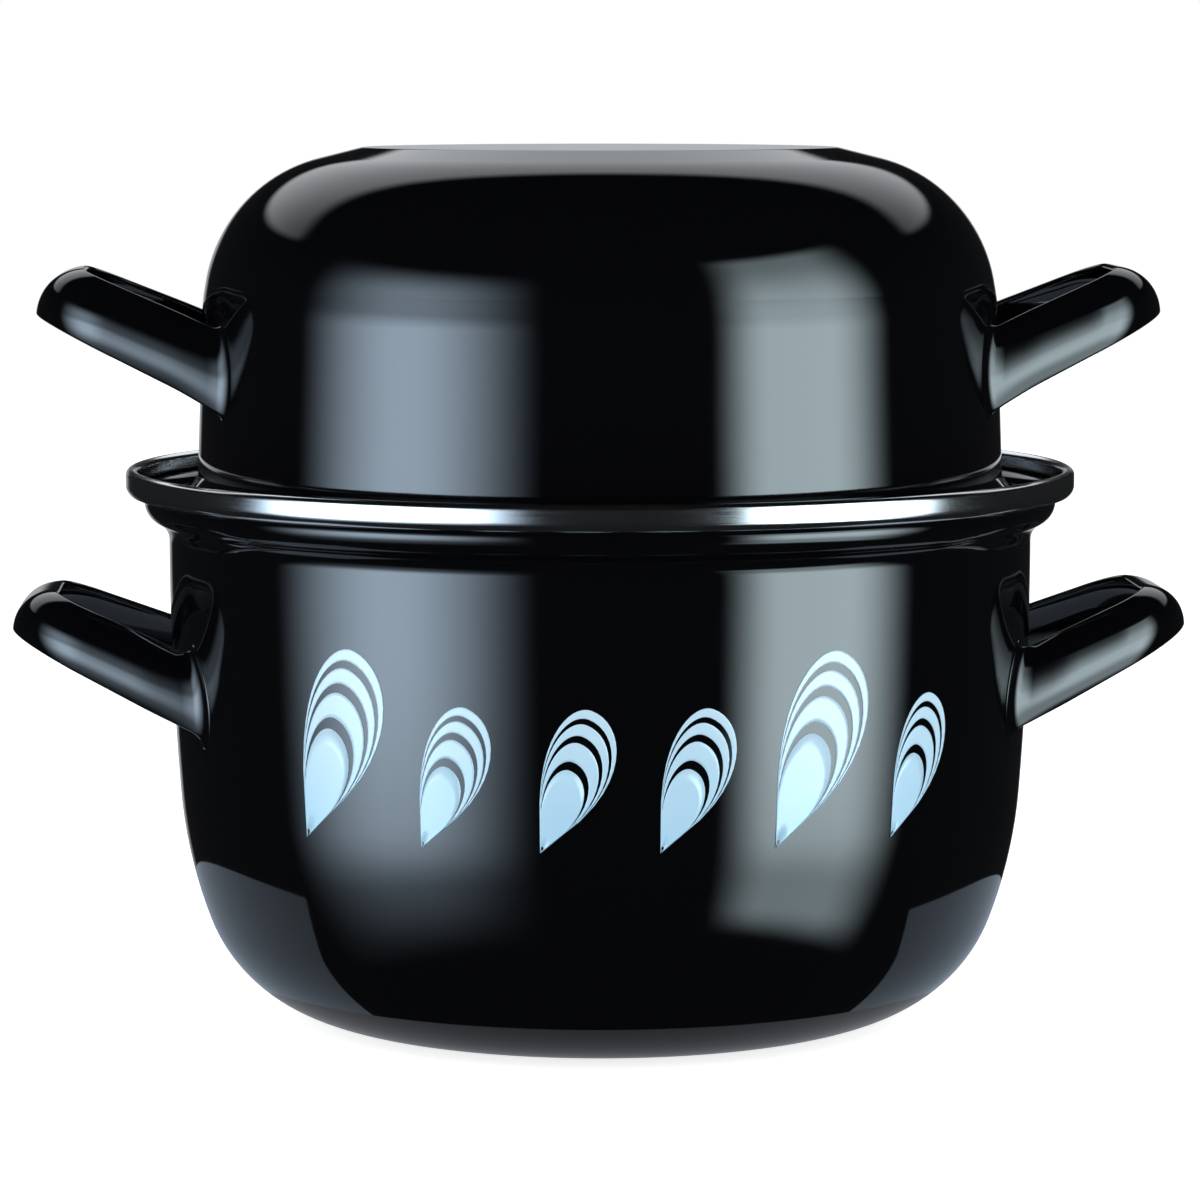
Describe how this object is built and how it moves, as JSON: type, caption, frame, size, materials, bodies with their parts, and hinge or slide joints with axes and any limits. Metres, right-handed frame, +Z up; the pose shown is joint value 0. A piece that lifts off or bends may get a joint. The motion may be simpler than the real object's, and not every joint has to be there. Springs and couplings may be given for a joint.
{
  "type": "mussel pot",
  "caption": "Enamelled steel cooking pot for mussels with a rolled steel rim and a deep domed lid that turns over into a bowl; strap loop handles on pot and lid.",
  "frame": {"origin": "middle of the pot's base, on the surface that the pot stands on", "axes": "+X towards the right-hand handles, +Z up through the lid, -Y towards the front"},
  "size_m": [0.299, 0.24, 0.2205],
  "materials": {
    "enamel": "glossy black vitreous enamel",
    "stainless": "polished stainless steel"
  },
  "bodies": {
    "root": {"pot_body": "enamel", "pot_rim_band": "stainless", "pot_handle_left": "enamel", "pot_handle_right": "enamel", "lid_bowl": "enamel", "lid_handle_left": "enamel", "lid_handle_right": "enamel"}
  },
  "joints": []
}
